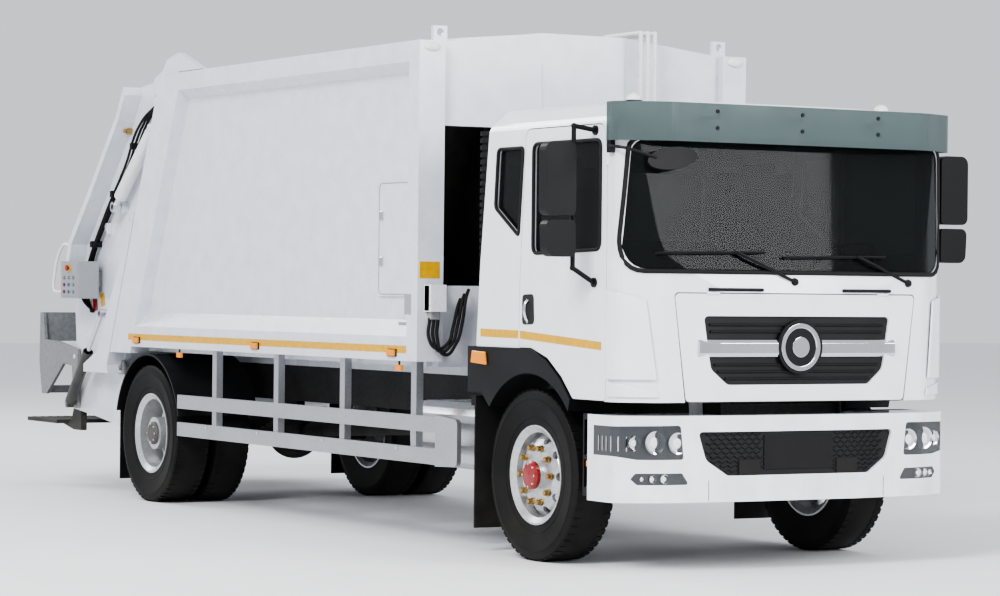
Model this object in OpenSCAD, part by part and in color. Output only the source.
// Rear-loading garbage truck: two-axle chassis with a tilting cab, a
// closed load body with an ejector plate, and a lifting tailgate with a
// hopper, a packer and a bin lifter.
// +X is forward, +Y is the vehicle's left, +Z is up. The origin is on the
// ground under the middle of the vehicle. All sizes are millimetres.

/* [Overall] */
// Distance between the two axles
wheelbase = 5500; // [4600:50:6600]
// Front axle to the front of the bumper
front_overhang = 1150; // [1100:10:1300]
// Rear axle to the back of the rear step
rear_overhang = 2500; // [2460:10:2700]
// Width of the cab over its doors
cab_w = 2300; // [2200:10:2400]
// Width of the load body over its posts
body_w = 2480; // [2400:10:2550]

/* [Wheels] */
// Outer radius of the tyres
tyre_r = 512; // [480:1:530]
// Radius of the rim flange
rim_r = 298; // [290:1:310]
// Width of one tyre
tyre_w = 280; // [240:5:310]
// Outer face of a front tyre from the middle of the vehicle
front_face_y = 1130; // [1100:5:1180]
// Outer face of a rear twin tyre from the middle of the vehicle
rear_face_y = 1216; // [1150:2:1230]
// Gap between the two tyres of a twin pair
twin_gap = 48; // [30:2:90]
// Hand holes around each wheel disc
hand_holes = 10; // [6:1:12]

/* [Cab] */
// Front face of the cab from the front axle
cab_front = 1128; // [1100:1:1200]
// Rear face of the cab at its waist, behind the front axle
cab_rear = 640; // [580:5:700]
// Top of the cab roof
cab_top = 2720; // [2500:10:2900]
// Lowest edge of the front panel
cab_low = 980; // [950:5:1010]
// Thickness of the cab walls and doors
cab_wall = 50; // [30:1:60]
// Even gap around doors and lids
panel_gap = 6; // [5:0.5:8]
// Thickness of the window glass
glass_t = 6; // [4:0.5:8]

/* [Load body] */
// Front of the body, behind the front axle
body_front = 1250; // [1150:10:1400]
// Top of the body's side rails
body_top = 3180; // [2900:10:3300]
// Rise of the roof between its side rails and its middle
roof_rise = 90; // [40:5:120]
// Underside of the side skirts
skirt_low = 1155; // [1130:5:1180]
// Thickness of the body's walls
body_wall = 50; // [30:1:60]
// Width of the front corner posts
post_w = 140; // [100:5:200]
// Slope of the rear opening, from vertical
rear_slope = 23.5; // [15:0.5:30]

/* [Tailgate] */
// Thickness of the tailgate's side plates
gate_wall = 50; // [30:1:60]
// Inner radius of the hopper's tub
tub_r = 500; // [495:5:620]
// Stroke of the packer carriage
packer_stroke = 350; // [250:10:400]

/* [Chassis] */
// Height of the top of the frame rails
rail_top = 1040; // [1000:5:1060]
// Depth of the frame rails
rail_h = 260; // [200:5:300]
// Outer width over the frame rails
frame_w = 860; // [800:10:900]
// Thickness of the plates of a frame rail
rail_t = 10; // [6:1:14]

/* [Hidden] */
$fn = 48;

// Lengths below are measured from the front axle, forward positive.
overall_len = front_overhang + wheelbase + rear_overhang;
front_axle_x = overall_len / 2 - front_overhang;
rear_x = -wheelbase;
back_x = -wheelbase - rear_overhang;
axle_z = tyre_r;
half_cab = cab_w / 2;
half_body = body_w / 2;
half_frame = frame_w / 2;
rail_low = rail_top - rail_h;

front_tyre_y = front_face_y - tyre_w / 2;
twin_out_y = rear_face_y - tyre_w / 2;
twin_in_y = twin_out_y - tyre_w - twin_gap;
twin_mid_y = (twin_out_y + twin_in_y) / 2;
kingpin_y = front_face_y - 260;
kingpin_r = 24;
stub_r = 40;
hub_r = 120;

// The cab's profile, seen from the side
belt_z = 1735;
screen_top_z = 2480;
floor_z = 1150;
arch_r = tyre_r + 93;
tunnel_half = 400;
tunnel_top = 1470;
door_front = 845;
door_rear = -130;
door_low = cab_low + 5;
lid_top = 1603;
lid_half = 850;
lid_low_half = 770;
lid_t = 36;
cab_pivot = [900, 650];
pivot_r = 20;

// The load body's section, seen from the front
floor_low = 1120;
floor_top = floor_low + 80;
panel_y = half_body - 100;
inner_y = panel_y - body_wall;
rail_z = body_top - 130;
slope_t = tan(rear_slope);
// Where the slanted rear face of the body meets a height z
function rear_face(z) = -5290 - wheelbase + 5500 - (body_top - z) * slope_t;

// The tailgate, seen from the side
gate_half = panel_y - 40;
gate_in = gate_half - gate_wall;
gate_shift = 5500 - wheelbase;
gate_pin = [-5133 + gate_shift, body_top + 76];
gate_pin_r = 30;
pin_play = 0.3;

gate_play = 12;
lift_body_pin = [-5530 + gate_shift, body_top - 394];
lift_gate_pin = [-6230 + gate_shift, body_top - 963];
lift_y = half_body - 50;
lift_pin_r = 22;
lifter_pin = [-7165 + gate_shift, 1045];
lever_pin = [-7145 + gate_shift, 677];
lifter_eye = [-6500 + gate_shift, 1396];
lifter_y = half_body - 60;
lifter_pin_r = 18;
slide_dir = [-0.69, -0.724];
blade_pin = [-6545 + gate_shift, 2135];

// Points of an arc, for outlines with round corners
function arc(c, r, a0, a1, n = 6) =
  [for (i = [0:n]) c + r * [cos(a0 + (a1 - a0) * i / n), sin(a0 + (a1 - a0) * i / n)]];
function unit(v) = v / norm(v);
// An outline whose corners [x, y, radius] are rounded
function rounded(p) = [for (i = [0:len(p) - 1])
  let (c = [p[i].x, p[i].y], r = p[i].z,
       a = unit([p[(i + len(p) - 1) % len(p)].x, p[(i + len(p) - 1) % len(p)].y] - c),
       b = unit([p[(i + 1) % len(p)].x, p[(i + 1) % len(p)].y] - c),
       half = acos(min(1, max(-1, a * b))) / 2,
       m = unit(a + b), o = c + m * r / sin(half),
       s = o + (c + a * r / tan(half) - o), e = c + b * r / tan(half),
       a0 = atan2(s.y - o.y, s.x - o.x), a1 = atan2(e.y - o.y, e.x - o.x),
       turn = a1 - a0 > 180 ? a1 - a0 - 360 : a1 - a0 < -180 ? a1 - a0 + 360 : a1 - a0)
  each (r < 1 ? [c] : [for (k = [0:4]) o + r * [cos(a0 + turn * k / 4), sin(a0 + turn * k / 4)]])];

module from_axle() translate([front_axle_x, 0, 0]) children();
// A side outline in x and z, spread from y = y0 to y1
module across(y0, y1) translate([0, y1, 0]) rotate([90, 0, 0]) linear_extrude(y1 - y0) children();
// A front outline in y and z, spread from x = x0 to x1
module along(x0, x1) translate([x0, 0, 0]) rotate([90, 0, 90]) linear_extrude(x1 - x0) children();
module block(x0, x1, y0, y1, z0, z1) translate([x0, y0, z0]) cube([x1 - x0, y1 - y0, z1 - z0]);
module both_sides() { children(); mirror([0, 1, 0]) children(); }
// A round bar or hole across the vehicle, at [x, z]
module cross_bar(p, r, y0, y1) translate([p.x, y1, p.y]) rotate([90, 0, 0]) cylinder(r = r, h = y1 - y0);
module lengthwise_bar(x0, x1, y, z, r) translate([x0, y, z]) rotate([0, 90, 0]) cylinder(r = r, h = x1 - x0);
// A round bar from point a to point b, both [x, y, z]
module bar(a, b, r) {
  d = b - a;
  translate(a) rotate([0, acos(d.z / norm(d)), atan2(d.y, d.x)]) cylinder(r = r, h = norm(d));
}

// ---- chassis ----
module rail_section() difference() {
  square([rail_t * 8, rail_h]);
  translate([-1, rail_t]) square([rail_t * 7 + 1, rail_h - 2 * rail_t]);
}

module chassis_frame() color("dimgray") from_axle() {
  both_sides() translate([rear_x - 640, half_frame - rail_t * 8, rail_low])
    rotate([90, 0, 90]) linear_extrude(640 + wheelbase + 960) rail_section();
  cross_z = rail_low + 60;
  for (x = [rear_x - 580, rear_x + 950, rear_x / 2, -1500, 840])
    block(x, x + 70, -half_frame + rail_t, half_frame - rail_t, cross_z, cross_z + 120);
  // pivots of the tilting cab
  both_sides() across(half_frame - 50, half_frame) polygon([[cab_pivot.x - 50, rail_low + 1],
    [cab_pivot.x + 50, rail_low + 1], [cab_pivot.x + 32, cab_pivot.y - 32], [cab_pivot.x - 32, cab_pivot.y - 32]]);
  both_sides() cross_bar(cab_pivot, pivot_r, half_frame - 40, half_frame + 50);
}

module leaf_spring(x, low, leaves, len) {
  for (i = [0:leaves - 1])
    block(x - len / 2 * (1 - i * 0.12), x + len / 2 * (1 - i * 0.12),
      half_frame - 80, half_frame, low + (leaves - 1 - i) * 18, low + (leaves - i) * 18);
  for (s = [-1, 1])
    block(x + s * (len / 2 - 30) - 30, x + s * (len / 2 - 30) + 30,
      half_frame - 80, half_frame, low + leaves * 18, rail_low);
}

front_beam_z = axle_z - 130;
front_beam_h = 90;
module front_axle() color("dimgray") from_axle() {
  difference() {
    union() {
      block(-45, 45, -kingpin_y + 100, kingpin_y - 100, front_beam_z, front_beam_z + front_beam_h);
      both_sides() block(-45, 45, kingpin_y - 150, kingpin_y - 62, front_beam_z + 20, axle_z + 45);
      both_sides() block(-45, 45, kingpin_y - 70, kingpin_y - 20, axle_z - 45, axle_z + 45);
      both_sides() translate([0, kingpin_y, axle_z - 45]) cylinder(r = 50, h = 90);
    }
    both_sides() translate([0, kingpin_y, axle_z - 46]) cylinder(r = kingpin_r + 0.5, h = 92);
  }
  both_sides() leaf_spring(0, front_beam_z + front_beam_h, 5, 1500);
}

axle_tube_r = 75;
module rear_axle() color("dimgray") from_axle() {
  translate([rear_x, 0, axle_z]) sphere(r = 210);
  cross_bar([rear_x, axle_z], axle_tube_r, -twin_in_y + 150, twin_in_y - 150);
  cross_bar([rear_x, axle_z], stub_r, -twin_out_y, twin_out_y);
  both_sides() difference() {
    leaf_spring(rear_x, axle_z + 40, 6, 1500);
    cross_bar([rear_x, axle_z], axle_tube_r - 2, 0, 1000);
  }
}

module engine() color("slategray") from_axle()
  block(-520, 560, -half_frame + 80, half_frame - 80, rail_low - 120, 1320);

module propeller_shaft() color("gray") from_axle() difference() {
  bar([-524, 0, rail_low], [rear_x + 190, 0, axle_z + 20], 55);
  translate([rear_x, 0, axle_z]) sphere(r = 210 + pin_play);
}

tank_y = half_cab - 70;
module fuel_tank() color("silver") from_axle() {
  translate([-1620, 0, 0]) along(0, 860)
    polygon(rounded([[-half_frame - 30, 480, 60], [-tank_y, 480, 160], [-tank_y, 900, 120],
      [-half_frame - 30, 900, 60]]));
  for (x = [-1500, -960]) block(x, x + 60, -half_frame - 100, -half_frame, 880, 960);
}

module air_tanks() color("silver") from_axle() {
  for (z = [560, 830]) lengthwise_bar(-2300, -1250, half_frame + 230, z, 125);
  for (x = [-2150, -1450]) difference() {
    block(x, x + 50, half_frame, half_frame + 230, 480, 900);
    for (z = [560, 830]) lengthwise_bar(x - 1, x + 51, half_frame + 230, z, 125);
  }
}

module battery_box() color("dimgray") from_axle() {
  block(-3300, -2650, half_frame + 40, half_frame + 540, 520, 900);
  for (x = [-3200, -2800]) block(x, x + 50, half_frame, half_frame + 60, 900, 960);
}

guard_y = half_body;
guard_posts = [-4340, -3330, -2330, -1340];
module side_guards() color("silver") from_axle() both_sides() {
  for (z = [520, 720]) block(-4920 + gate_shift, -1000, guard_y - 30, guard_y, z, z + 100);
  across(guard_y - 30, guard_y)
    polygon(rounded([[-1000, 510, 2], [-720, 520, 40], [-720, 810, 40], [-1000, 830, 2]]));
  for (x = guard_posts) block(x - 35, x + 35, guard_y - 80, guard_y - 30, 520, skirt_low);
}

// The bumper, seen from above
function bumper_plan(t) = rounded([[700, -half_cab - 25 + t, 1], [980 - t, -half_cab - 25 + t, 60],
  [front_overhang - 60 - t, -half_cab + 230, 300], [front_overhang - t, -420, 900],
  [front_overhang - t, 420, 900], [front_overhang - 60 - t, half_cab - 230, 300],
  [980 - t, half_cab + 25 - t, 60], [700, half_cab + 25 - t, 1]]);
bumper_low = 410;
bumper_top = 905;
lamp_low = 655;
lamp_top = 850;
module bumper_form(t, z0, z1) translate([0, 0, z0]) linear_extrude(z1 - z0) polygon(bumper_plan(t));
module lamp_zone() both_sides() {
  along(765, 1300) polygon(rounded([[780, lamp_low, 15], [800, lamp_top, 20], [1200, lamp_top - 5, 2],
    [1200, lamp_low + 25, 2], [1050, lamp_low, 60]]));
  along(765, 1300) polygon(rounded([[745, 512, 10], [790, 578, 10], [1060, 578, 20], [1085, 545, 8],
    [1050, 512, 12]]));
}
module grille_zone() along(900, 1300) polygon(rounded([[-690, 812, 20], [690, 812, 20],
  [640, 650, 60], [500, 560, 40], [-500, 560, 40], [-640, 650, 60]]));
module front_bumper() color("white") from_axle() {
  difference() {
    bumper_form(0, bumper_low, bumper_top);
    bumper_form(60, bumper_low + 60, bumper_top - 40);
    block(690, 760, -half_cab, half_cab, bumper_low - 1, bumper_top + 1);
    block(690, 1040, -half_frame - 70, half_frame + 70, bumper_low - 1, bumper_top + 1);
    intersection() {
      difference() { bumper_form(-5, bumper_low, bumper_top); bumper_form(45, bumper_low, bumper_top); }
      union() { lamp_zone(); grille_zone(); }
    }
  }
  both_sides() block(960, 1095, half_frame - 60, half_frame, rail_low + 10, rail_low + 90);
}

module bumper_grille() color("black") from_axle() intersection() {
  grille_zone();
  difference() { bumper_form(20, bumper_low, bumper_top); bumper_form(45, bumper_low, bumper_top); }
}

module head_lamps() color("lightcyan") from_axle() intersection() {
  lamp_zone();
  difference() { bumper_form(2, bumper_low, bumper_top); bumper_form(45, bumper_low, bumper_top); }
}

fender_r = tyre_r + 70;
module rear_fenders() color("black") from_axle() both_sides() {
  across(twin_in_y - tyre_w / 2 - 20, half_body - 10) difference() {
    translate([rear_x, axle_z]) circle(r = fender_r + 15, $fn = 96);
    translate([rear_x, axle_z]) circle(r = fender_r, $fn = 96);
    translate([rear_x - 800, axle_z - 800]) square([1600, 950]);
  }
  block(rear_x - fender_r + 8, rear_x - fender_r + 20, twin_in_y - tyre_w / 2, half_body - 40, 140, axle_z + 160);
  block(rear_x - 60, rear_x + 60, half_frame + 5, twin_in_y + 200, axle_z + fender_r + 12, floor_low);
}

module cab_steps() color("black") from_axle() both_sides() {
  step_in = half_cab - 260;
  difference() {
    block(610, 759.7, step_in, half_cab, 430, cab_low - 75);
    block(625, 745, step_in + 20, half_cab + 1, 480, 640);
    block(625, 745, step_in + 20, half_cab + 1, 665, cab_low - 110);
  }
  block(612, 652, half_frame, step_in, rail_low + 20, rail_low + 80);
}

module front_mudflaps() color("black") from_axle() both_sides() {
  block(-680, -665, half_cab - 360, half_cab - 10, 150, 960);
  block(-740, -680, half_cab - 330, half_cab - 20, 900, 960);
  block(-730, -690, half_frame, half_cab - 330, 905, 955);
}

module intake_bellows() color("black") from_axle() {
  for (i = [0:21]) translate([-800, -half_cab + 170, 1640 + i * 44]) cylinder(r1 = 62, r2 = 62, h = 28);
  translate([-800, -half_cab + 170, 1040]) cylinder(r = 50, h = 1600 + 21 * 44 - 1000);
  block(-870, -745, -half_cab + 100, -half_frame + 40, rail_top, rail_top + 60);
}

// ---- load body ----
crown_z = body_top + roof_rise;
crown_y = 315;
// Height of the roof at a distance y from the middle
function roof_z(y) = crown_z - roof_rise * (y - crown_y) / (half_body - crown_y);
module body_outline() polygon(concat(
  [[-half_body, skirt_low], [-inner_y, skirt_low], [-inner_y, floor_low], [inner_y, floor_low],
   [inner_y, skirt_low], [half_body, skirt_low], [half_body, skirt_low + 156], [panel_y, skirt_low + 260],
   [panel_y, rail_z - 60], [half_body, rail_z], [half_body, body_top], [crown_y, crown_z],
   [-crown_y, crown_z], [-half_body, body_top], [-half_body, rail_z], [-panel_y, rail_z - 60],
   [-panel_y, skirt_low + 260], [-half_body, skirt_low + 156]]));
module body_inside() polygon([[-inner_y, floor_top], [inner_y, floor_top], [inner_y, rail_z],
  [crown_y - 20, crown_z - body_wall], [-crown_y + 20, crown_z - body_wall], [-inner_y, rail_z]]);
// Everything behind the slanted plane through the rear face, moved by dx
module behind_rear(dx) across(-2000, 2000)
  polygon([[rear_face(0) + dx, 0], [rear_face(4000) + dx, 4000], [-12000, 4000], [-12000, 0]]);
hatch = [-1480, -1940, 1565, 2305];
module hatch_outline(g) translate([hatch[1] - g, hatch[2] - g])
  square([hatch[0] - hatch[1] + 2 * g, hatch[3] - hatch[2] + 2 * g]);
post_back = -body_front - post_w;
rear_post_w = 400;
module body_shell() color("white") from_axle() {
  difference() {
    along(rear_face(0) - 100, post_back) body_outline();
    translate([0, 0, 0]) along(rear_face(0) - 200, post_back + 1) body_inside();
    behind_rear(rear_post_w - 10);
    across(-half_body - 5, -inner_y + 5) hatch_outline(-40);
  }
  both_sides() block(rear_face(1120) + 500, post_back, half_frame - 80, half_frame, rail_top, floor_low);
}

window_low = 1635;
window_top = 2650;
module body_front_frame() color("white") from_axle() {
  both_sides() block(post_back, -body_front, half_body - 185, half_body, skirt_low, body_top);
  difference() {
    along(post_back, -body_front - 60) polygon([[-half_body + 184, floor_low], [half_body - 184, floor_low],
      [half_body - 184, body_top], [crown_y, crown_z], [-crown_y, crown_z], [-half_body + 184, body_top]]);
    along(post_back - 1, -body_front) translate([-half_body + 185, window_low])
      square([1500, window_top - window_low]);
  }
  both_sides() block(-body_front - 110, -body_front - 30, half_frame - 80, half_frame, rail_top, floor_low);
  both_sides() difference() {
    block(-body_front - 90, -body_front - 60, half_body - 230, half_body - 130, body_top, body_top + 100);
    translate([-body_front - 100, half_body - 180, body_top + 60]) rotate([0, 90, 0])
      cylinder(r = 25, h = 50);
  }
}

ear_y0 = half_body - 60;
ear_low = roof_z(ear_y0) + pin_play;
module body_rear_frame() color("white") from_axle() {
  union() {
    difference() {
      along(rear_face(0) - 100, post_back) {
        difference() {
          polygon([[-half_body, skirt_low - 50], [half_body, skirt_low - 50], [half_body, body_top],
            [crown_y, crown_z], [-crown_y, crown_z], [-half_body, body_top]]);
          body_inside();
        }
      }
      difference() {
        block(-13000, 0, -2000, 2000, -10, 5000);
        behind_rear(rear_post_w - 10);
      }
      behind_rear(0);
    }
    both_sides() across(ear_y0, half_body - 10) polygon([[gate_pin.x + 563, ear_low],
      [gate_pin.x + 155, body_top + 147], [gate_pin.x - 57, body_top + 105], [gate_pin.x - 152, body_top],
      [gate_pin.x - 100, body_top - 60], [gate_pin.x + 160, body_top - 60], [gate_pin.x + 160, ear_low]]);
  }
  both_sides() cross_bar(gate_pin, gate_pin_r - pin_play, gate_half, ear_y0 + 10);
  // brackets and pins of the tailgate's lift cylinders
  both_sides() cross_bar(lift_body_pin, 30, gate_half + 30, lift_y - 33);
  both_sides() across(gate_half + 8, lift_y - 54) polygon([[lift_body_pin.x + 110, lift_body_pin.y + 60],
    [lift_body_pin.x - 30, lift_body_pin.y + 45], [lift_body_pin.x - 45, lift_body_pin.y - 30],
    [lift_body_pin.x + 80, lift_body_pin.y - 60]]);
  both_sides() cross_bar(lift_body_pin, lift_pin_r - pin_play, gate_half + 20, lift_y + 36);
}

module hydraulic_pipes() color("whitesmoke") from_axle() {
  for (y = [380, 435, 490]) {
    lengthwise_bar(-body_front - 400, -body_front + 40, y, crown_z + 30, 14);
    translate([-body_front + 40, y, 2700]) cylinder(r = 14, h = crown_z - 2670);
    translate([-body_front - 400, y, roof_z(y - 14) + pin_play]) cylinder(r = 14, h = 30);
    for (x = [-body_front - 400, -body_front + 40]) translate([x, y, crown_z + 30]) sphere(r = 14);
  }
  difference() {
    block(-body_front - 60, -body_front + 54, 350, 520, 2720, 2760);
    for (y = [380, 435, 490]) translate([-body_front + 40, y, 2700]) cylinder(r = 14, h = 100);
  }
  block(-body_front, -body_front + 90, -half_body + 50, -half_body + 160, 1470, 1640);
}

// ---- ejector ----
ejector_foot = post_back - 160;
module ejector_plate() color("lightgray") from_axle() {
  lean = 1700 * slope_t;
  for (y = [-700, 700]) block(ejector_foot - 860, ejector_foot - 30, y - 40, y + 40, floor_top + pin_play, floor_top + 20);
  across(-inner_y + 12, inner_y - 12) polygon([[ejector_foot, floor_top + 8],
    [ejector_foot - 900, floor_top + 8], [ejector_foot - 900 + lean, floor_top + 1708],
    [ejector_foot - 820 + lean, floor_top + 1708], [ejector_foot - 780, floor_top + 128],
    [ejector_foot, floor_top + 128]]);
  both_sides() across(500, 560) polygon([[ejector_foot - 20, floor_top + 128],
    [ejector_foot - 780, floor_top + 128], [ejector_foot - 820 + lean, floor_top + 1600]]);
}

hatch_hinge_x = -1482;
module service_hatch() color("white") from_axle() {
  across(-panel_y - 18, -panel_y - 0.5) hatch_outline(0);
  for (z = [1640, 2160]) translate([hatch_hinge_x, -panel_y - 12, z]) cylinder(r = 6, h = 70);
}

// ---- cab ----
// The cab from the side, drawn in by t on every face
function cab_side(t) = rounded([[-cab_rear - 10 + t, arch_top + 16 + t, 10], [-cab_rear + 30 + t, 1770, 300],
  [-cab_rear + 130 + t, 2590, 60], [-cab_rear + 165 + t, cab_top - 15 - t, 60],
  [300, cab_top - t, 2000], [cab_front - 230 - t, cab_top - t, 90], [cab_front - 100 - t, screen_top_z - t * 0.3, 120],
  [cab_front - 18 - t, belt_z, 200], [cab_front - t, lid_top, 200], [cab_front - t, cab_low + t, 10],
  [door_front - 200, cab_low + t, 2], [door_front - 400, arch_top + 16 + t, 20]]);
// The cab from above, drawn in by t
function cab_plan(t) = rounded([[-2000, -half_cab + t, 1], [960, -half_cab + t, 120],
  [cab_front - 30 - t, -half_cab + 210, 200], [cab_front + 5 - t, -420, 900], [cab_front + 5 - t, 420, 900],
  [cab_front - 30 - t, half_cab - 210, 200], [960, half_cab - t, 120], [-2000, half_cab - t, 1]]);
// The cab from the front, drawn in by t
function cab_face(t) = rounded([[-half_cab + t, 400, 1], [half_cab - t, 400, 1], [half_cab - t, 2590, 80],
  [half_cab - 110, cab_top - 20 - t, 80], [0, cab_top + 10 - t, 3000], [-half_cab + 110, cab_top - 20 - t, 80],
  [-half_cab + t, 2590, 80]]);
arch_top = 1250;
module cab_form(t) intersection() {
  across(-half_cab, half_cab) polygon(cab_side(t));
  translate([0, 0, 400]) linear_extrude(2600) polygon(cab_plan(t));
  along(-1000, 1300) polygon(cab_face(t));
}

door_corners = [[door_rear, arch_top + 20, 6], [door_rear, 1600, 200], [door_rear + 60, 2568, 60],
  [door_front - 30, 2568, 60], [door_front, 2300, 100], [door_front, door_low, 20], [490, door_low, 30],
  [360, 1110, 60], [200, 1215, 60], [10, arch_top + 20, 80]];
module door_outline() polygon(rounded(door_corners));
module door_window() polygon(rounded([[20, 1830, 40], [20, 2480, 50], [780, 2480, 60], [780, 1850, 80]]));
module quarter_window() polygon(rounded([[-430, 2110, 20], [-400, 2462, 35], [-95, 2462, 25], [-145, 1935, 35]]));
module door_hole() offset(delta = panel_gap) door_outline();
module screen_outline() polygon(rounded([[-1085, belt_z + 5, 110], [1085, belt_z + 5, 110],
  [1125, 1860, 60], [1085, screen_top_z, 80], [-1085, screen_top_z, 80], [-1125, 1860, 60]]));
module lid_outline() polygon(rounded([[-lid_low_half, cab_low + 4, 25], [lid_low_half, cab_low + 4, 25],
  [lid_half, lid_top, 25], [-lid_half, lid_top, 25]]));
module lid_hole() polygon(rounded([[-lid_low_half - panel_gap, cab_low - 20, 2],
  [lid_low_half + panel_gap, cab_low - 20, 2], [lid_half + panel_gap, lid_top + panel_gap, 25],
  [-lid_half - panel_gap, lid_top + panel_gap, 25]]));
module rear_window() polygon(rounded([[-420, 1950, 60], [420, 1950, 60], [420, 2350, 60], [-420, 2350, 60]]));

// Hinge barrels of a door, at its outer front edge
module hinge_barrels(r, play) for (z = [1240, 2330])
  translate([door_front + panel_gap / 2, half_cab, z - play]) cylinder(r = r, h = 90 + 2 * play);
// Hinge barrels of the front panel, at its outer top edge
module lid_barrels(r, play) for (y = [-600, 600])
  cross_bar([cab_front - 4, lid_top + panel_gap / 2], r, y - 40 - play, y + 40 + play);

module cab_shell() color("white") from_axle() {
  both_sides() hinge_barrels(10, 0);
  lid_barrels(8, 0);
  both_sides() difference() {
    across(half_frame + 8, half_frame + 44) polygon([[cab_pivot.x + 32, cab_pivot.y - 20],
      [cab_pivot.x - 25, cab_pivot.y - 32], [700, 850], [675, floor_z - 49], [770, floor_z - 49], [785, 890],
      [cab_pivot.x + 30, cab_pivot.y + 40]]);
    cross_bar(cab_pivot, pivot_r + pin_play, 0, 1000);
  }
  difference() {
    cab_form(0);
    difference() {
      cab_form(cab_wall);
      block(-cab_rear, cab_front, -2000, 2000, 0, floor_z);
    }
    // hollow under the floor, behind the front panel
    difference() {
      translate([0, 0, -200]) cab_form(cab_wall);
      block(-2000, 2000, -2000, 2000, floor_z - 50, 4000);
    }
    both_sides() block(-2000, door_front - 210, 0, half_cab - cab_wall, 0, floor_z - 50);
    both_sides() across(half_cab - cab_wall - 1, half_cab + 1) door_hole();
    both_sides() across(half_cab - cab_wall - 1, half_cab + 1) quarter_window();
    along(860, 1300) screen_outline();
    along(cab_front - cab_wall - 30, 1300) lid_hole();
    along(-1000, -200) rear_window();
    block(-560, 620, -tunnel_half, tunnel_half, 0, tunnel_top - 60);
    for (s = [-1, 1]) across(s > 0 ? half_cab - 330 : -half_cab - 1, s > 0 ? half_cab + 1 : -half_cab + 330)
      translate([0, axle_z]) circle(r = arch_r + 12, $fn = 96);
  }
  difference() {
    block(-580, 650, -tunnel_half - 30, tunnel_half + 30, floor_z - 1, tunnel_top - 30);
    block(-600, 620, -tunnel_half, tunnel_half, 0, tunnel_top - 60);
  }
  // the bulkhead behind the front panel
  block(985, 1010, -half_cab + cab_wall + 80, half_cab - cab_wall - 80, floor_z - 10, lid_top + 60);
}

module cab_glass() color("lightblue") from_axle() {
  intersection() {
    along(860, 1300) screen_outline();
    difference() { cab_form(6); cab_form(6 + glass_t); }
  }
  both_sides() across(half_cab - 20 - glass_t, half_cab - 20) quarter_window();
  intersection() {
    along(-1000, -200) rear_window();
    difference() { cab_form(20); cab_form(20 + glass_t); }
  }
}

visor_z = 2468;
module sun_visor() color("darkseagreen") from_axle() {
  difference() {
    translate([0, 0, visor_z]) linear_extrude(2690 - visor_z) polygon(rounded([[880, -half_cab - 40, 20],
      [1010, -half_cab - 40, 90], [front_overhang - 20, -900, 300], [front_overhang - 12, 0, 3000],
      [front_overhang - 20, 900, 300], [1010, half_cab + 40, 90], [880, half_cab + 40, 20]]));
    translate([0, 0, visor_z - 1]) linear_extrude(2700 - visor_z) polygon(rounded([[800, -half_cab - 34, 20],
      [1004, -half_cab - 34, 84], [front_overhang - 26, -894, 294], [front_overhang - 18, 0, 3000],
      [front_overhang - 26, 894, 294], [1004, half_cab + 34, 84], [800, half_cab + 34, 20]]));
  }
  // brackets on the roof's front edge
  difference() {
    for (y = [-590, 0, 590]) block(900, front_overhang - 22, y - 18, y + 18, 2600, 2625);
    cab_form(-pin_play);
  }
}

module dashboard() color("darkslategray") from_axle() difference() {
  intersection() {
  cab_form(cab_wall + pin_play);
  across(-half_cab + cab_wall + 5, half_cab - cab_wall - 5) polygon(rounded([[1004, floor_z + 250, 2],
    [1004, belt_z - 20, 20], [860, belt_z + 25, 60], [700, belt_z - 40, 60], [690, belt_z - 160, 40],
    [800, floor_z + 250, 40]]));
  }
  block(980, 1011, -half_cab, half_cab, 0, lid_top + 61);
  steering_column(column_r + pin_play);
}

seat_floor = arch_top + 16 + cab_wall;
module seat_form(y) translate([150, y, seat_floor]) {
  across(-240, 240) polygon(rounded([[-330, 160, 40], [-350, 300, 60], [130, 300, 50], [130, 160, 40]]));
  across(-235, 235) polygon(rounded([[-310, 230, 20], [-460, 930, 40], [-550, 930, 40], [-470, 230, 30]]));
  across(-130, 130) polygon(rounded([[-468, 915, 10], [-480, 1110, 30], [-550, 1110, 30], [-545, 915, 10]]));
  block(-300, 80, -180, 180, 0, 165);
}
seat_y = half_cab - 430;
module seats() color("dimgray") from_axle() for (y = [-seat_y, seat_y]) seat_form(y);

wheel_c = [560, seat_y, 1790];
column_r = 30;
module steering_column(r) translate(wheel_c) rotate([0, -35, 0]) translate([0, 0, -260]) cylinder(r = r, h = 235);
module steering_wheel() color("black") from_axle() {
  translate(wheel_c) rotate([0, -35, 0]) {
    rotate_extrude() translate([210, 0]) circle(r = 16);
    translate([0, 0, -30]) cylinder(r = 55, h = 40);
    for (a = [90, 210, 330]) rotate(a) translate([40, -18, -12]) cube([160, 36, 14]);
  }
  steering_column(column_r);
}

module front_arches() color("black") from_axle() both_sides() {
  across(half_cab - 320, half_cab + 12) difference() {
    intersection() {
      polygon([[-735, 985], [-735, arch_top + 15.7], [20, arch_top + 15.7], [200, 1200], [360, 1095], [475, 980], [440, 845],
        [0, 500], [-560, 985]]);
      translate([-800, 700]) square([1300, 700]);
    }
    translate([0, axle_z]) circle(r = arch_r, $fn = 96);
  }
}

module front_mirror() color("dimgray") from_axle() {
  block(880, 925, -half_cab - 28, -half_cab - pin_play, 2400, 2480);
  bar([905, -half_cab - 22, 2440], [1085, -half_cab - 22, 2420], 9);
  translate([1085, -half_cab - 22, 2420]) sphere(r = 11);
  bar([1085, -half_cab - 22, 2420], [1104, -985, 2372], 9);
  translate([1102, -880, 2368]) rotate([0, 84, -8]) rotate(8) scale([0.4, 1, 1]) cylinder(r = 158, h = 34, center = true);
}

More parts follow.
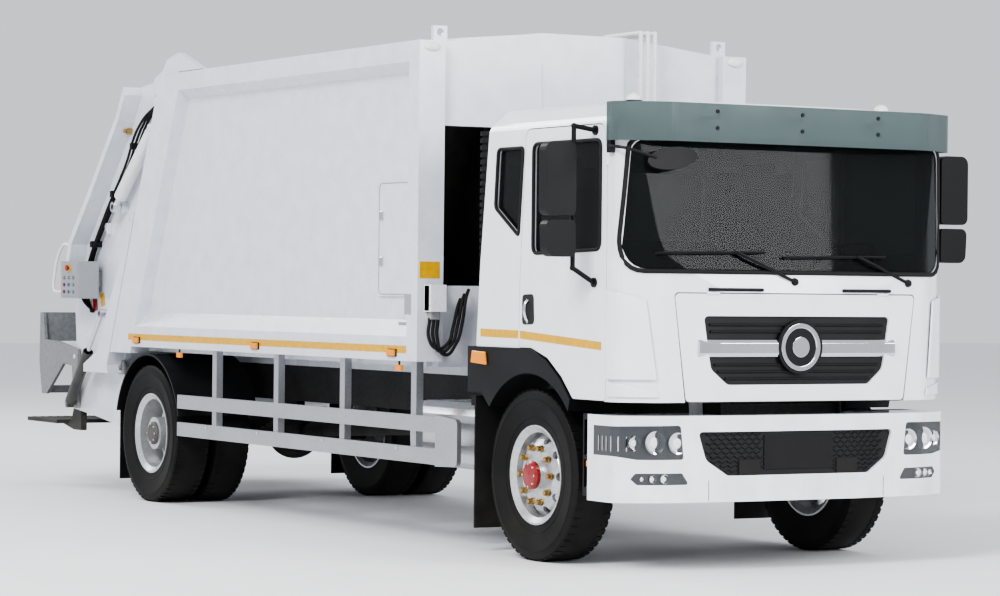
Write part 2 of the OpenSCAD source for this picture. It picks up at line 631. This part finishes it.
module lid_skin(t0, t1) intersection() {
  difference() {
    cab_form(t0);
    cab_form(t1);
    translate([0, 0, -200]) cab_form(t1);
  }
  block(900, 1300, -1000, 1000, cab_low - 10, lid_top + 10);
}
module grille_opening() polygon(rounded([[-660, 1475, 25], [660, 1475, 25], [610, 1170, 60],
  [500, 1080, 50], [-500, 1080, 50], [-610, 1170, 60]]));
module front_panel() color("white") from_axle() difference() {
  intersection() { along(900, 1300) lid_outline(); lid_skin(0, lid_t); }
  along(900, 1300) grille_opening();
  lid_barrels(8 + pin_play, 3);
}
module grille() color("black") from_axle() {
  intersection() { along(900, 1300) grille_opening(); lid_skin(14, lid_t); }
}

module door() difference() {
  across(half_cab - cab_wall, half_cab) door_outline();
  across(half_cab - cab_wall - 1, half_cab + 1) door_window();
  hinge_barrels(10 + pin_play, 3);
}
module door_right() color("white") from_axle() mirror([0, 1, 0]) door();
module door_left() color("white") from_axle() door();
module door_glass() across(half_cab - 20 - glass_t, half_cab - 20) door_window();
module door_glass_right() color("lightblue") from_axle() mirror([0, 1, 0]) door_glass();
module door_glass_left() color("lightblue") from_axle() door_glass();

mirror_x = 720;
module mirror_set() {
  arm_y = half_cab + 150;
  head_y = half_cab + 275;
  arm = [[half_cab + 8, 2535], [arm_y, 2555], [arm_y, 1742], [half_cab + 8, 1660]];
  for (i = [0:2]) bar([mirror_x, arm[i].x, arm[i].y], [mirror_x, arm[i + 1].x, arm[i + 1].y], 14);
  for (i = [1:2]) translate([mirror_x, arm[i].x, arm[i].y]) sphere(r = 17);
  for (z = [2535, 1660]) translate([mirror_x, half_cab + 12, z]) rotate([90, 0, 0])
    cylinder(r = 28, h = 12 - pin_play);
  bar([mirror_x, arm_y, 2400], [mirror_x, head_y - 100, 2400], 12);
  bar([mirror_x, arm_y, 1900], [mirror_x, head_y - 100, 1900], 12);
  translate([mirror_x - 25, 0, 0]) along(0, 75) {
    polygon(rounded([[head_y - 115, 2040, 30], [head_y + 90, 2040, 40], [head_y + 90, 2460, 50],
      [head_y - 115, 2460, 40]]));
    polygon(rounded([[head_y - 115, 1805, 35], [head_y + 75, 1805, 50], [head_y + 85, 2015, 40],
      [head_y - 115, 2015, 30]]));
  }
}
module mirror_right() color("black") from_axle() mirror([0, 1, 0]) mirror_set();
module mirror_left() color("black") from_axle() mirror_set();

// ---- wheels ----
module tyre(y) translate([0, y, 0]) rotate([90, 0, 0]) rotate_extrude($fn = 96) polygon(rounded([
  [rim_r - 29.7, -tyre_w / 2 + 48, 0], [rim_r + 6, -tyre_w / 2 + 26, 4], [tyre_r - 60, -tyre_w / 2, 60], [tyre_r - 6, -tyre_w / 2 + 12, 18],
  [tyre_r, 0, 600], [tyre_r - 6, tyre_w / 2 - 12, 18], [tyre_r - 60, tyre_w / 2, 60],
  [rim_r + 6, tyre_w / 2 - 26, 4], [rim_r - 29.7, tyre_w / 2 - 48, 0]]));
module rim_barrel(y) translate([0, y, 0]) rotate([90, 0, 0]) rotate_extrude($fn = 96) polygon([
  [rim_r - 30, -tyre_w / 2 + 45], [rim_r, -tyre_w / 2 + 28], [rim_r, -tyre_w / 2 + 22], [rim_r - 12, -tyre_w / 2 + 22],
  [rim_r - 44, -tyre_w / 2 + 45], [rim_r - 44, tyre_w / 2 - 45], [rim_r - 12, tyre_w / 2 - 22],
  [rim_r, tyre_w / 2 - 22], [rim_r, tyre_w / 2 - 28], [rim_r - 30, tyre_w / 2 - 45]]);
// A dished wheel disc whose face stands at y, bulging towards out (1 or -1)
module wheel_disc(y, out) difference() {
  translate([0, y, 0]) rotate([-90 * out, 0, 0]) rotate_extrude($fn = 96) polygon([[stub_r + 1, 0], [175, 0],
    [215, -22], [rim_r - 44.5, -66], [rim_r - 44.5, -80], [205, -36], [170, -14], [stub_r + 1, -14]]);
  for (i = [0:hand_holes - 1]) rotate([0, i * 360 / hand_holes, 0])
    translate([220, y - 100, 0]) rotate([-90, 0, 0]) cylinder(r = 27, h = 200);
}

front_disc_y = front_face_y - 40;
module at_front_wheel() from_axle() translate([0, 0, axle_z]) children();
module at_rear_wheel() from_axle() translate([rear_x, 0, axle_z]) children();
module front_rim() {
  rim_barrel(front_tyre_y);
  wheel_disc(front_disc_y, 1);
  difference() {
    cross_bar([0, 0], hub_r, kingpin_y + 95, front_disc_y - 14);
    cross_bar([0, 0], stub_r + 1, kingpin_y, front_disc_y);
  }
  cross_bar([0, 0], 78, front_disc_y, front_disc_y + 38);
}
module rear_rims() {
  rim_barrel(twin_out_y);
  rim_barrel(twin_in_y);
  wheel_disc(twin_mid_y + 14, -1);
  wheel_disc(twin_mid_y - 14, 1);
  difference() {
    cross_bar([0, 0], hub_r, twin_mid_y + 14, twin_out_y + 90);
    cross_bar([0, 0], stub_r + 1, twin_mid_y, twin_out_y + 2);
  }
}
module front_tyre_right() color("black") at_front_wheel() tyre(-front_tyre_y);
module front_tyre_left() color("black") at_front_wheel() tyre(front_tyre_y);
module front_rim_right() color("silver") at_front_wheel() mirror([0, 1, 0]) front_rim();
module front_rim_left() color("silver") at_front_wheel() front_rim();
module rear_tyres_right() color("black") at_rear_wheel() for (y = [-twin_out_y, -twin_in_y]) tyre(y);
module rear_tyres_left() color("black") at_rear_wheel() for (y = [twin_out_y, twin_in_y]) tyre(y);
module rear_rims_right() color("silver") at_rear_wheel() mirror([0, 1, 0]) rear_rims();
module rear_rims_left() color("silver") at_rear_wheel() rear_rims();

module knuckle() translate([0, 0, axle_z]) {
  translate([0, kingpin_y, -130]) cylinder(r = kingpin_r, h = 260);
  for (z = [-120, 55]) translate([0, kingpin_y, z]) cylinder(r = 46, h = 65);
  block(-46, 46, kingpin_y + 56, kingpin_y + 85, -120, 120);
  for (z = [-120, 55]) block(-46, 46, kingpin_y, kingpin_y + 60, z, z + 65);
  cross_bar([0, 0], stub_r, kingpin_y + 80, front_disc_y - 2);
}
module knuckle_right() color("gray") from_axle() mirror([0, 1, 0]) knuckle();
module knuckle_left() color("gray") from_axle() knuckle();

// ---- tailgate ----
gate_top_z = body_top + 15;
function gx(x) = x + gate_shift;
gate_upper = [[gx(-5980), gate_top_z - 70], [gx(-6140), 2890], [gx(-6690), 2320], [gx(-7050), 1965]];
gate_front_top = [rear_face(gate_top_z) - gate_play, gate_top_z];
sill = [gx(-7190), floor_low];
tub_front = [rear_face(floor_low) - gate_play, floor_low];
tub_half = (tub_front.x - sill.x) / 2;
tub_c = [(tub_front.x + sill.x) / 2, floor_low + sqrt(tub_r * tub_r - tub_half * tub_half)];
module gate_side() polygon(concat([gate_front_top], gate_upper, [[gx(-7235), 1400], [gx(-7205), 1120],
  [gx(-7260), 630], [gx(-6730), 580], [gx(-6295), 526], [gx(-6150), 870],
  [rear_face(1000) - gate_play, 1000]]));
module gate_roof() polygon(concat([gate_front_top], gate_upper,
  [[gx(-7085), 1900], [gx(-7040), 1880], [gx(-6655), 2265], [gx(-6095), 2850], [gx(-5950), gate_top_z - 120],
   [gate_front_top.x - 25, gate_top_z - 50]]));
module gate_tub() intersection() {
  difference() {
    translate(tub_c) circle(r = tub_r + 40, $fn = 96);
    translate(tub_c) circle(r = tub_r, $fn = 96);
  }
  polygon([[tub_c.x - 700, 400], [tub_c.x - 700, floor_low], sill, [tub_c.x, floor_low + 2], tub_front,
    [rear_face(1000) - gate_play, 1000], [tub_front.x, 400]]);
}
module tailgate_shell() color("white") from_axle() difference() {
  union() {
    both_sides() across(gate_in, gate_half) gate_side();
    across(-gate_in - 5, gate_in + 5) gate_roof();
    across(-gate_in - 5, gate_in + 5) gate_tub();
    // sill and rear apron
    across(-gate_in - 5, gate_in + 5) polygon([[gx(-7207), 1160], [gx(-7208), 1060], [gx(-7250), 635],
      [gx(-7205), 635], [gx(-7160), 980], [gx(-7140), 1160]]);
    // raised frame along the rear edge of each side plate
    both_sides() across(gate_half - 5, half_body) polygon([[gx(-5980), gate_top_z - 70], [gx(-6140), 2890],
      [gx(-6690), 2320], [gx(-7050), 1965], [gx(-7185), 1560], [gx(-7130), 1560], [gx(-6995), 1935],
      [gx(-6650), 2275], [gx(-6085), 2865], [gx(-5950), gate_top_z - 130]]);
    both_sides() across(gate_half - 5, half_body) polygon([[rear_face(2180) - gate_play - 4, 2180],
      [rear_face(1980) - gate_play - 70, 1980], [rear_face(1100) - gate_play - 260, 1100],
      [gx(-6720), 1000], [gx(-6720), 940], [rear_face(1000) + 10, 940],
      [rear_face(1000) - gate_play - 4, 1004]]);
    // hinge arms
    both_sides() across(gate_half - 5, ear_y0 - 8) polygon([[gate_pin.x + 45, gate_pin.y + 45],
      [gate_pin.x - 60, gate_pin.y + 35], [gate_pin.x - 420, gate_top_z - 30], [gate_pin.x - 420, gate_top_z - 160],
      [rear_face(gate_top_z - 120) - gate_play - 4, gate_top_z - 120],
      [rear_face(gate_top_z) - gate_play - 4, gate_top_z + 6], [gate_pin.x + 8, gate_top_z + 14],
      [gate_pin.x + 45, gate_pin.y - 20]]);
    both_sides() cross_bar(lift_gate_pin, 45, gate_half - 5, lift_y - 36);
    both_sides() cross_bar(lifter_eye, 40, gate_half - 5, lifter_y - 32);
    both_sides() cross_bar(lifter_pin, lifter_pin_r - pin_play, gate_half - 5, gate_half + 38);
  }
  cross_bar(gate_pin, gate_pin_r, -half_body, half_body);
  both_sides() cross_bar([gx(-5430), 3020], 45, gate_in - 1, gate_half + 1);
}

module control_box() color("gray") from_axle() {
  block(gx(-6980), gx(-6620), -half_body - 90, -half_body + 80, 1510, 1800);
  block(gx(-6900), gx(-6700), -half_body + 80, -gate_half, 1600, 1720);
}

module rear_step() color("silver") from_axle() {
  block(back_x, gx(-7360), -half_body + 40, half_body - 40, 505, 535);
  both_sides() across(gate_in, gate_half) polygon([[gx(-7100), 614.6], [gx(-7255), 629.2], [gx(-7300), 535],
    [gx(-7500), 505], [gx(-7250), 460], [gx(-7100), 460]]);
}

module lift_barrel() {
  d = unit(lift_gate_pin - lift_body_pin);
  difference() {
    union() {
      bar([lift_body_pin.x + d.x * 40, lift_y, lift_body_pin.y + d.y * 40],
        [lift_body_pin.x + d.x * 780, lift_y, lift_body_pin.y + d.y * 780], 48);
      cross_bar(lift_body_pin, 42, lift_y - 30, lift_y + 30);
    }
    bar([lift_body_pin.x + d.x * 80, lift_y, lift_body_pin.y + d.y * 80],
      [lift_body_pin.x + d.x * 790, lift_y, lift_body_pin.y + d.y * 790], 40);
    cross_bar(lift_body_pin, lift_pin_r, lift_y - 31, lift_y + 31);
  }
}
module lift_barrels() color("silver") from_axle() both_sides() lift_barrel();
module lift_rod() {
  d = unit(lift_gate_pin - lift_body_pin);
  bar([lift_body_pin.x + d.x * 90, lift_y, lift_body_pin.y + d.y * 90],
    [lift_body_pin.x + d.x * 130, lift_y, lift_body_pin.y + d.y * 130], 39);
  difference() {
    union() {
      bar([lift_body_pin.x + d.x * 100, lift_y, lift_body_pin.y + d.y * 100],
        [lift_gate_pin.x - d.x * 20, lift_y, lift_gate_pin.y - d.y * 20], 24);
      cross_bar(lift_gate_pin, 40, lift_y - 28, lift_y + 28);
    }
    cross_bar(lift_gate_pin, lift_pin_r, lift_y - 31, lift_y + 31);
  }
}
module lift_rods() color("whitesmoke") from_axle() both_sides() lift_rod();

module packer_carriage() color("lightgray") from_axle() {
  n = [slide_dir.y, -slide_dir.x];
  a = blade_pin - slide_dir * 800;
  across(-gate_in + 15, gate_in - 15) polygon([a, blade_pin - slide_dir * 75, blade_pin - slide_dir * 75 + n * 70, a + n * 70]);
  // slide shoes against the side plates
  both_sides() across(gate_in - 30, gate_in - pin_play) polygon([a, a + slide_dir * 180,
    a + slide_dir * 180 + n * 70, a + n * 70]);
  both_sides() difference() {
    across(gate_in - 150, gate_in - 90) polygon([blade_pin - slide_dir * 80 + n * -60, blade_pin - slide_dir * 80 + n * 70,
      blade_pin + n * 45 + slide_dir * 40, blade_pin - n * 45 + slide_dir * 40]);
    cross_bar(blade_pin, 30 + pin_play, 0, gate_in);
  }
}
blade_len = 600;
module sweep_blade() color("lightgray") from_axle() {
  cross_bar(blade_pin, 30, -gate_in + 85, gate_in - 85);
  across(-gate_in + 160, gate_in - 160) polygon([blade_pin + [-30, 10], blade_pin + [40, 10],
    blade_pin + [90, -300], blade_pin + [225, -blade_len], blade_pin + [170, -blade_len - 10],
    blade_pin + [20, -320]]);
}

module lifter_arm() difference() {
  across(gate_half + 8, gate_half + 32) polygon([[lifter_pin.x + 60, lifter_pin.y + 60],
    [lifter_pin.x - 90, lifter_pin.y + 80], [lifter_pin.x - 345, lifter_pin.y + 115],
    [lifter_pin.x - 640, lifter_pin.y + 125], [lifter_pin.x - 680, lifter_pin.y + 345],
    [lifter_pin.x - 750, lifter_pin.y + 345], [lifter_pin.x - 760, lifter_pin.y - 60],
    [lifter_pin.x - 700, lifter_pin.y - 315], [lifter_pin.x - 600, lifter_pin.y - 315],
    [lifter_pin.x - 240, lifter_pin.y - 60], [lifter_pin.x - 60, lifter_pin.y - 75],
    [lever_pin.x - 40, lever_pin.y - 40], [lever_pin.x + 40, lever_pin.y - 40]]);
  cross_bar(lifter_pin, lifter_pin_r, 0, 2000);
}
module bin_lifter() color("gray") from_axle() {
  both_sides() lifter_arm();
  both_sides() cross_bar(lever_pin, lifter_pin_r - pin_play, gate_half + 10, lifter_y + 34);
  block(lifter_pin.x - 750, lifter_pin.x - 700, -gate_half - 20, gate_half + 20, lifter_pin.y + 110, lifter_pin.y + 345);
  block(lifter_pin.x - 700, lifter_pin.x - 620, -gate_half - 20, gate_half + 20, lifter_pin.y - 310, lifter_pin.y - 250);
}

module lifter_barrel() {
  d = unit(lifter_eye - lever_pin);
  difference() {
    union() {
      bar([lever_pin.x + d.x * 20, lifter_y, lever_pin.y + d.y * 20],
        [lever_pin.x + d.x * 560, lifter_y, lever_pin.y + d.y * 560], 42);
      cross_bar(lever_pin, 36, lifter_y - 26, lifter_y + 26);
    }
    bar([lever_pin.x + d.x * 60, lifter_y, lever_pin.y + d.y * 60],
      [lever_pin.x + d.x * 570, lifter_y, lever_pin.y + d.y * 570], 34);
    cross_bar(lever_pin, lifter_pin_r, 0, 2000);
  }
}
module lifter_barrels() color("black") from_axle() both_sides() lifter_barrel();
module lifter_rod() {
  d = unit(lifter_eye - lever_pin);
  bar([lever_pin.x + d.x * 420, lifter_y, lever_pin.y + d.y * 420],
    [lever_pin.x + d.x * 460, lifter_y, lever_pin.y + d.y * 460], 33);
  difference() {
    union() {
      bar([lever_pin.x + d.x * 430, lifter_y, lever_pin.y + d.y * 430],
        [lifter_eye.x - d.x * 15, lifter_y, lifter_eye.y - d.y * 15], 18);
      cross_bar(lifter_eye, 34, lifter_y - 25, lifter_y + 25);
    }
    cross_bar(lifter_eye, lifter_pin_r, 0, 2000);
  }
}
module lifter_rods() color("silver") from_axle() both_sides() lifter_rod();

chassis_frame();
front_axle();
rear_axle();
engine();
propeller_shaft();
fuel_tank();
air_tanks();
battery_box();
side_guards();
front_bumper();
bumper_grille();
head_lamps();
rear_fenders();
cab_steps();
front_mudflaps();
intake_bellows();
body_shell();
body_front_frame();
body_rear_frame();
hydraulic_pipes();
ejector_plate();
service_hatch();
cab_shell();
cab_glass();
sun_visor();
dashboard();
seats();
steering_wheel();
front_arches();
front_mirror();
front_panel();
grille();
door_right();
door_left();
door_glass_right();
door_glass_left();
mirror_right();
mirror_left();
knuckle_right();
knuckle_left();
front_tyre_right();
front_tyre_left();
front_rim_right();
front_rim_left();
rear_tyres_right();
rear_tyres_left();
rear_rims_right();
rear_rims_left();
tailgate_shell();
control_box();
rear_step();
lift_barrels();
lift_rods();
packer_carriage();
sweep_blade();
bin_lifter();
lifter_rods();
lifter_barrels();
